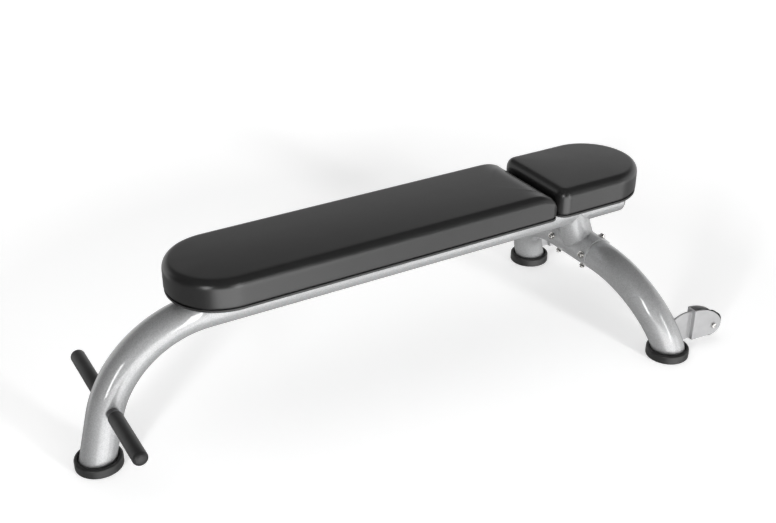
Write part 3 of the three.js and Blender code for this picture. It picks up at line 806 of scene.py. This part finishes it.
def outline_points(name, inset):
    """Plan outline of a pad, its square end at x = 0 and its half-round end at the pad's length."""
    half = PAD_HALF_WIDTH - inset
    corner = max(PAD_CORNERS[name] - inset, min(half, 2 * MM))
    round_x = pad_length(name) - PAD_HALF_WIDTH
    round_steps, corner_steps, side_steps, end_steps = 64, 10, 40, 14
    points = []
    for step in range(round_steps + 1):
        angle = -math.pi / 2 + math.pi * step / round_steps
        points.append(Vector((round_x + half * math.cos(angle), half * math.sin(angle))))
    arc = []
    for step in range(corner_steps + 1):
        angle = math.pi / 2 * (1 + step / corner_steps)
        x = inset + corner + corner * math.cos(angle)
        arc.append(Vector((x, half - corner + corner * math.sin(angle))))
    mirrored = [Vector((p.x, -p.y)) for p in arc]
    points += between(points[-1], arc[0], side_steps) + arc
    points += between(arc[-1], mirrored[-1], end_steps) + mirrored[::-1]
    return points + between(mirrored[0], points[0], side_steps)


def pad_length(name):
    return extent(f"{name}_pad_cushion", "x")


def pad_place(x, flip):
    """The matrix that takes a pad's own plan into the bench's frame."""
    turn = Matrix.Rotation(math.pi if flip else 0, 4, "Z")
    return Matrix.Translation(Vector((x, 0, 0))) @ turn


def pad_rings(name, section):
    """Rings of the plan outline, one for each (inset, z)."""
    return [[Vector((p.x, p.y, z)) for p in outline_points(name, inset)] for inset, z in section]


def cushion_section(low, high):
    """Half section of a cushion: underside, crisp base, side and rounded edge, up to the middle line."""
    crease = 0.7 * MM
    shoulder = high - PAD_EDGE_DROP
    side_steps, edge_steps, top_steps = 4, 10, 9
    section = [(PAD_EDGE, low), (crease, low), (0, low), (0, low + crease)]
    rise = shoulder - low - crease
    section += [(0, low + crease + rise * step / side_steps) for step in range(1, side_steps)]
    for step in range(edge_steps + 1):
        angle = math.pi / 2 * step / edge_steps
        section.append((PAD_EDGE * (1 - math.cos(angle)), shoulder + PAD_EDGE_DROP * math.sin(angle)))
    run = PAD_HALF_WIDTH - PAD_EDGE
    return section + [(PAD_EDGE + run * (step + 1) / top_steps, high) for step in range(top_steps)]


def shape_end(mesh, low, high, run, drop):
    """Rounds the pad's square end over its foam: the end falls by the drop over the run."""
    height = high - low
    for vertex in mesh.vertices:
        if vertex.co.x >= run:
            continue
        part = 1 - max(vertex.co.x, 0) / run
        fall = drop * (1 - math.sqrt(1 - part ** 2))
        vertex.co.z = low + (vertex.co.z - low) * (1 - fall / height)


def relaxed(piece, rounds):
    relax = piece.modifiers.new("relax", "SMOOTH")
    relax.factor = 0.5
    relax.iterations = rounds
    apply_modifiers(piece)


def crown(piece, low, high, length):
    """Lifts the middle of the top a little, as foam under stretched vinyl does."""
    for vertex in piece.data.vertices:
        across = min(1, abs(vertex.co.y) / PAD_HALF_WIDTH)
        along = min(1, abs(vertex.co.x / length * 2 - 1))
        lift = PAD_CROWN * (1 - across ** 2) * (1 - along ** 6)
        vertex.co.z += lift * (vertex.co.z - low) / (high - low)


def swelling(piece, low):
    """How far a cloth under slight pressure, held at its base, moves each point."""
    scene = bpy.context.scene
    last_frame = 20
    held = piece.vertex_groups.new(name="held")
    base = [v.index for v in piece.data.vertices if v.co.z < low + 1 * MM]
    held.add(base, 1.0, "REPLACE")
    cloth = piece.modifiers.new("cloth", "CLOTH")
    settings = cloth.settings
    settings.quality = 4
    settings.use_pressure = True
    settings.uniform_pressure_force = 4
    settings.effector_weights.gravity = 0
    settings.vertex_group_mass = held.name
    cloth.point_cache.frame_start = 1
    cloth.point_cache.frame_end = last_frame
    for number in range(1, last_frame + 1):
        scene.frame_set(number)
    swollen = evaluated_mesh(piece)
    moves = [after.co - before.co for after, before in zip(swollen.vertices, piece.data.vertices)]
    bpy.data.meshes.remove(swollen)
    piece.modifiers.remove(cloth)
    piece.vertex_groups.clear()
    scene.frame_set(1)
    most = max(move.length for move in moves)
    return [move * min(1, PAD_SWELL / most) for move in moves]


def inflate(piece, low):
    """Moves the points by the swelling, smoothed over the surface so that no simulation ripple is left."""
    moves = swelling(piece, low)
    field = piece.copy()
    field.data = piece.data.copy()
    bpy.context.collection.objects.link(field)
    for vertex, move in zip(field.data.vertices, moves):
        vertex.co = move
    relaxed(field, 60)
    for vertex, move in zip(piece.data.vertices, field.data.vertices):
        vertex.co += move.co
    bpy.data.objects.remove(field)


def fit(piece, low, high):
    """Scales a cushion onto the box that its space in the frame has."""
    points = [v.co for v in piece.data.vertices]
    for axis in range(3):
        least = min(p[axis] for p in points)
        most = max(p[axis] for p in points)
        scale = (high[axis] - low[axis]) / (most - least)
        for point in points:
            point[axis] = low[axis] + (point[axis] - least) * scale


def make_cushion(name, place):
    node = f"{name}_pad_cushion"
    node_low, node_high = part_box(node)
    low, high = node_low.z, node_high.z
    verts, faces = loft(pad_rings(name, cushion_section(low, high)))
    faces.pop()  # the last ring closes on the pad's middle line
    piece = mesh_object(f"{name}_cushion", verts, faces)
    shape_end(piece.data, low, high, *NOSE[name])
    crown(piece, low, high, pad_length(name))
    inflate(piece, low)
    divide = piece.modifiers.new("fine", "SUBSURF")
    divide.levels = 1
    divide.render_levels = 1
    apply_modifiers(piece)
    piece.data.transform(place)
    fit(piece, node_low, node_high)
    smooth(piece.data, 50)
    dress(piece, "black_vinyl", node)


def make_board(name, place):
    """The board: vinyl wrapped round its edge shows as a thin lip below a groove."""
    node = f"{name}_pad_board"
    low, high = (corner.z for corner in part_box(node))
    inner = GROOVE_INSET + 20 * MM
    profile = filleted([
        (inner, low, 0), (LIP_INSET, low, 1.2 * MM), (LIP_INSET, low + LIP_HEIGHT, 1 * MM),
        (GROOVE_INSET, low + LIP_HEIGHT, 0.6 * MM), (GROOVE_INSET, high, 0), (inner, high, 0),
    ], 4)
    verts, faces = loft(pad_rings(name, [(p.x, p.y) for p in profile]))
    piece = mesh_object(f"{name}_board", verts, faces, 50)
    piece.data.transform(place)
    dress(piece, "board_vinyl", node)


def make_wrap(name, place):
    """Under the board: the folded vinyl edge, pleated where the plan turns, and its row of staples."""
    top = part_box(f"{name}_pad_board")[0].z - 0.02 * MM
    bottom = top - 0.88 * MM
    bend_x = pad_length(name) - PAD_HALF_WIDTH
    outer, inner, staple_line = LIP_INSET + 1.5 * MM, 24 * MM, 17 * MM
    rings = []
    for inset, z in ((outer, bottom), (inner, bottom), (inner, top), (outer, top)):
        ring = []
        for index, point in enumerate(outline_points(name, inset)):
            pleated = point.x > bend_x and z < top
            pleat = 0.35 * MM * abs(math.sin(index * 1.3)) if pleated else 0
            ring.append((point.x, point.y, z - pleat))
        rings.append(ring)
    verts, faces = loft(rings, closed=True)
    wrap = mesh_object(f"{name}_wrap", verts, faces, 40)
    wrap.data.transform(place)
    dress(wrap, "board_vinyl")
    make_staples(name, outline_points(name, staple_line), bottom, place)


def make_staples(name, line, z, place):
    """Staples along the line, one every 28 mm."""
    pitch = 28 * MM
    size = Matrix.Diagonal(Vector((9 * MM, 0.9 * MM, 1 * MM, 1)))
    made = bmesh.new()
    run = 0.0
    for here, after in zip(line, line[1:] + line[:1]):
        run += (after - here).length
        if run < pitch:
            continue
        run -= pitch
        angle = math.atan2(after.y - here.y, after.x - here.x)
        spot = Matrix.Translation(Vector((here.x, here.y, z))) @ Matrix.Rotation(angle, 4, "Z")
        bmesh.ops.create_cube(made, size=1, matrix=place @ spot @ size)
    mesh = bpy.data.meshes.new(f"{name}_staples")
    made.to_mesh(mesh)
    made.free()
    staples = bevelled(add_object(f"{name}_staples", mesh), 0.25 * MM, 2)
    dress(staples, "bright_steel")


def make_pads():
    for name, flip in (("main", True), ("head", False)):
        low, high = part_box(f"{name}_pad_cushion")
        place = pad_place(high.x if flip else low.x, flip)
        make_cushion(name, place)
        make_board(name, place)
        make_wrap(name, place)


def make_pad_screws():
    down = Vector((0, 0, -1))
    for pad in ("main", "head"):
        for place in ("front", "rear"):
            for side in SIDES:
                node = f"{pad}_pad_screw_{place}_{side}"
                low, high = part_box(node)
                seat = centre_of(node)
                seat.z = low.z + PAD_SCREW["height"]
                screw = socket_bolt(f"{node}_skin", seat, down, high.z - seat.z, **PAD_SCREW)
                dress(screw, "bright_steel", node)


# -------------------- transport wheels
def make_wheel(name, side):
    """A wheel that rides on its own body: a grooved tyre, a ribbed hub with two dished faces, a bush."""
    at = AXLE[name]
    ride = {"body": f"{name}_wheel"}
    axis = ACROSS * side
    inner = HUB_RADIUS + GAP
    groove_radius = WHEEL_RADIUS - 0.9 * MM
    tyre = filleted([
        (inner, -WHEEL_HALF, 0.4 * MM), (WHEEL_RADIUS, -WHEEL_HALF, 3.2 * MM),
        (WHEEL_RADIUS, -1.2 * MM, 0.4 * MM), (groove_radius, -0.9 * MM, 0),
        (groove_radius, 0.9 * MM, 0),
        (WHEEL_RADIUS, 1.2 * MM, 0.4 * MM), (WHEEL_RADIUS, WHEEL_HALF, 3.2 * MM),
        (inner, WHEEL_HALF, 0.4 * MM),
    ], 5)
    piece = turned(f"tyre_{name}", tyre, at, axis, 96)
    dress(piece, "black_rubber", f"wheel_tyre_{name}", **ride)
    finish_with(piece, TYRE_RUBBER)
    half_hub = [
        (BUSH_RADIUS + GAP, HUB_HALF, 0.3 * MM), (HUB_CORE, HUB_HALF, 0.8 * MM),
        (HUB_CORE, HUB_WEB, 1.2 * MM), (HUB_RIM, HUB_WEB, 1.2 * MM),
        (HUB_RIM, WHEEL_HALF, 0.5 * MM), (HUB_RADIUS, WHEEL_HALF, 0.5 * MM),
    ]
    hub = filleted([(radius, -z, fillet) for radius, z, fillet in half_hub] + half_hub[::-1], 3)
    piece = turned(f"hub_{name}", hub, at, axis, 64)
    add_ribs(piece, at)
    dress(piece, "black_plastic", f"wheel_hub_{name}", **ride)
    bush = filleted([
        (BUSH_BORE, -HUB_HALF, 0.3 * MM), (BUSH_RADIUS, -HUB_HALF, 0.4 * MM),
        (BUSH_RADIUS, HUB_HALF, 0.4 * MM), (BUSH_BORE, HUB_HALF, 0.3 * MM),
    ], 3)
    dress(turned(f"bush_{name}", bush, at, axis, 48), "grey_plastic", f"wheel_bush_{name}", **ride)


def add_ribs(piece, at):
    """Six ribs across the hub's two dished faces, sunk a little into its core and its rim."""
    out = Matrix.Translation(Vector(((HUB_CORE + HUB_RIM) / 2, 0, 0)))
    length = HUB_RIM - HUB_CORE + 2 * GAP
    size = Matrix.Diagonal(Vector((length, 2 * (WHEEL_HALF - 1.5 * MM), 1.8 * MM, 1)))
    made = bmesh.new()
    made.from_mesh(piece.data)
    for angle in round_angles(6):
        place = Matrix.Translation(at) @ Matrix.Rotation(angle, 4, "Y") @ out @ size
        bmesh.ops.create_cube(made, size=1, matrix=place)
    made.to_mesh(piece.data)
    made.free()
    smooth(piece.data)


def make_axle(name, side):
    """The screw that a wheel turns on, through its fork, and its lock nut on the inside."""
    out = ACROSS * side
    seat = out * (FORK_HALF + GAP)
    past_fork = 11.6 * MM
    bolt = socket_bolt(f"axle_screw_{name}", AXLE[name] + seat, out, 2 * FORK_HALF + past_fork, **AXLE_SCREW)
    dress(bolt, "bright_steel", f"axle_bolt_{name}")
    nut = hex_nut(f"axle_lock_nut_{name}", AXLE[name] - seat, -out, **AXLE_NUT)
    dress(nut, "bright_steel", f"axle_nut_{name}")


def finish_cad_brackets():
    """The folded plates keep their CAD shape and get softened edges and a finish."""
    for node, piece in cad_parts.items():
        if "bracket" in node or "gusset" in node or "fork" in node:
            finish_with(piece, MATERIALS["bracket_paint"])
            bevelled(piece, 0.5 * MM, 2)


# -------------------- stage
def make_floor():
    """A white floor that glows more away from the bench. Reflections and shadow rays pass through it."""
    half = 30
    near, far = 1.2, 3.2
    verts = [(-half, -half, 0), (half, -half, 0), (half, half, 0), (-half, half, 0)]
    mesh = bpy.data.meshes.new("floor")
    mesh.from_pydata(verts, [], [(0, 1, 2, 3)])
    floor = add_object("floor", mesh)
    floor.location.z = -0.3 * MM
    floor.visible_glossy = False
    floor.visible_shadow = False
    pale = Shader("floor_white", (0.8, 0.8, 0.8), 0.8, Specular_IOR_Level=0.0)
    pale.bsdf.inputs["Emission Color"].default_value = (1, 1, 1, 1)
    away = pale.node("ShaderNodeVectorMath", operation="LENGTH")
    pale.link(pale.place, away.inputs[0])
    pale.into(pale.remap(away.outputs["Value"], FLOOR_GLOW, 1.0, near, far), "Emission Strength")
    pale.vary_roughness(3, 0.76, 0.84)
    mesh.materials.append(pale.material)
    return floor


def make_backdrop():
    """A white wall all round, far off. Only the camera sees it, so it casts neither light nor shadow."""
    radius, height, sides = 29, 25, 64
    verts = []
    for z in (-0.01, height):
        verts += [(radius * math.cos(angle), radius * math.sin(angle), z) for angle in round_angles(sides)]
    faces = [(k, (k + 1) % sides, (k + 1) % sides + sides, k + sides) for k in range(sides)]
    mesh = bpy.data.meshes.new("backdrop")
    mesh.from_pydata(verts, [], faces)
    wall = add_object("backdrop", mesh)
    wall.visible_diffuse = False
    wall.visible_glossy = False
    wall.visible_shadow = False
    white = Shader("backdrop_white", (0, 0, 0), 1.0, Specular_IOR_Level=0.0, Emission_Strength=1.0)
    white.bsdf.inputs["Emission Color"].default_value = (1, 1, 1, 1)
    mesh.materials.append(white.material)


def area_light(name, at, aim, size, power):
    data = bpy.data.lights.new(name, "AREA")
    data.shape = "RECTANGLE"
    data.size, data.size_y = size
    data.energy = power
    lamp = add_object(name, data)
    lamp.location = at
    lamp.rotation_euler = (Vector(aim) - Vector(at)).to_track_quat("-Z", "Y").to_euler()
    lamp.visible_glossy = False
    return lamp


def floor_strip(name, azimuth, floor):
    """A low upright strip light for the floor alone, which draws the bench's long soft shadows."""
    away, up, aim_up = 6, 0.75, 0.3
    width, height = 0.7, 1.2
    angle = math.radians(azimuth)
    at = (away * math.cos(angle), away * math.sin(angle), up)
    lamp = area_light(name, at, (0, 0, aim_up), (width, height), STRIP_POWER)
    only_floor = bpy.data.collections.new(f"{name}_receivers")
    only_floor.objects.link(floor)
    lamp.light_linking.receiver_collection = only_floor


class Sky:
    """The studio round the bench as light by direction: angles in degrees, azimuth from +X towards +Y."""

    def __init__(self):
        self.world = bpy.data.worlds.new("studio")
        bpy.context.scene.world = self.world
        self.world.use_nodes = True
        self.tree = self.world.node_tree
        place = self.tree.nodes.new("ShaderNodeTexCoord")
        split = self.tree.nodes.new("ShaderNodeSeparateXYZ")
        self.tree.links.new(place.outputs["Generated"], split.inputs[0])
        self.azimuth = self.math("DEGREES", self.math("ARCTAN2", split.outputs["Y"], split.outputs["X"]))
        self.elevation = self.math("DEGREES", self.math("ARCSINE", split.outputs["Z"]))
        self.total = None

    def math(self, operation, first, second=None):
        node = self.tree.nodes.new("ShaderNodeMath")
        node.operation = operation
        for socket, value in zip(node.inputs, (first, second)):
            if isinstance(value, (int, float)):
                socket.default_value = value
            elif value is not None:
                self.tree.links.new(value, socket)
        return node.outputs[0]

    def step(self, value, start, end):
        """0 before the start and 1 after the end, smooth between."""
        node = self.tree.nodes.new("ShaderNodeMapRange")
        node.interpolation_type = "SMOOTHERSTEP"
        node.inputs[1].default_value = start
        node.inputs[2].default_value = end
        self.tree.links.new(value, node.inputs[0])
        return node.outputs[0]

    def window(self, value, low, high, rise, fall):
        """1 between low and high, falling to 0 over the two soft edges."""
        start = self.step(value, low - rise, low)
        end = self.step(value, high, high + fall)
        return self.math("MULTIPLY", start, self.math("SUBTRACT", 1.0, end))

    def glow(self, strength, azimuths, elevations, sides=(10, 10), ends=(10, 10)):
        """Adds light between two azimuths and two elevations, with soft edges."""
        across = self.window(self.azimuth, *azimuths, *sides)
        up = self.window(self.elevation, *elevations, *ends)
        part = self.math("MULTIPLY", self.math("MULTIPLY", across, up), strength)
        self.total = part if self.total is None else self.math("ADD", self.total, part)

    def finish(self):
        background = self.tree.nodes["Background"]
        background.inputs["Strength"].default_value = 1.0
        self.tree.links.new(self.total, background.inputs["Color"])


def make_lights(floor):
    """Dim in front, a soft horizon behind, two glows low in front and two tall narrow softboxes."""
    sky = Sky()
    everywhere = (-190, 190)
    sky.glow(0.045, everywhere, (-95, 95))
    sky.glow(0.09, everywhere, (60, 95), ends=(40, 1))
    sky.glow(0.17, everywhere, (-95, -14), ends=(1, 20))
    sky.glow(0.72, (-30, 125), (-10, 13), sides=(40, 25), ends=(20, 25))
    sky.glow(2.25, (-116, -72), (-38, -6), sides=(24, 18), ends=(22, 6))
    sky.glow(1.3, (-50, -38), (-38, -6), sides=(10, 10), ends=(22, 6))
    sky.glow(8.0, (-144, -136), (-2, 20), sides=(1, 1), ends=(3, 3))
    sky.glow(8.0, (-82, -77), (-10, 20), sides=(1, 1), ends=(3, 3))
    sky.finish()
    area_light("top_soft", (-0.3, 0.2, 4.0), (0, 0, 0), (5.0, 5.0), TOP_POWER)
    floor_strip("left_strip", -141, floor)
    floor_strip("front_strip", -76, floor)


def make_camera():
    data = bpy.data.cameras.new("camera")
    data.lens = CAMERA_LENS
    data.sensor_width = 36
    camera = add_object("camera", data)
    camera.location = CAMERA_PLACE
    camera.rotation_euler = Euler((CAMERA_TILT, 0, CAMERA_TURN))
    bpy.context.scene.camera = camera


make_camera()
make_frame_tubes()
make_saddle()
make_saddle_fasteners()
make_welds()
make_cups()
make_pegs()
make_pads()
make_pad_screws()
for side_name, side_sign in SIDES.items():
    make_wheel(side_name, side_sign)
    make_axle(side_name, side_sign)
finish_cad_brackets()
make_lights(make_floor())
make_backdrop()
bpy.context.scene.view_settings.view_transform = "Standard"
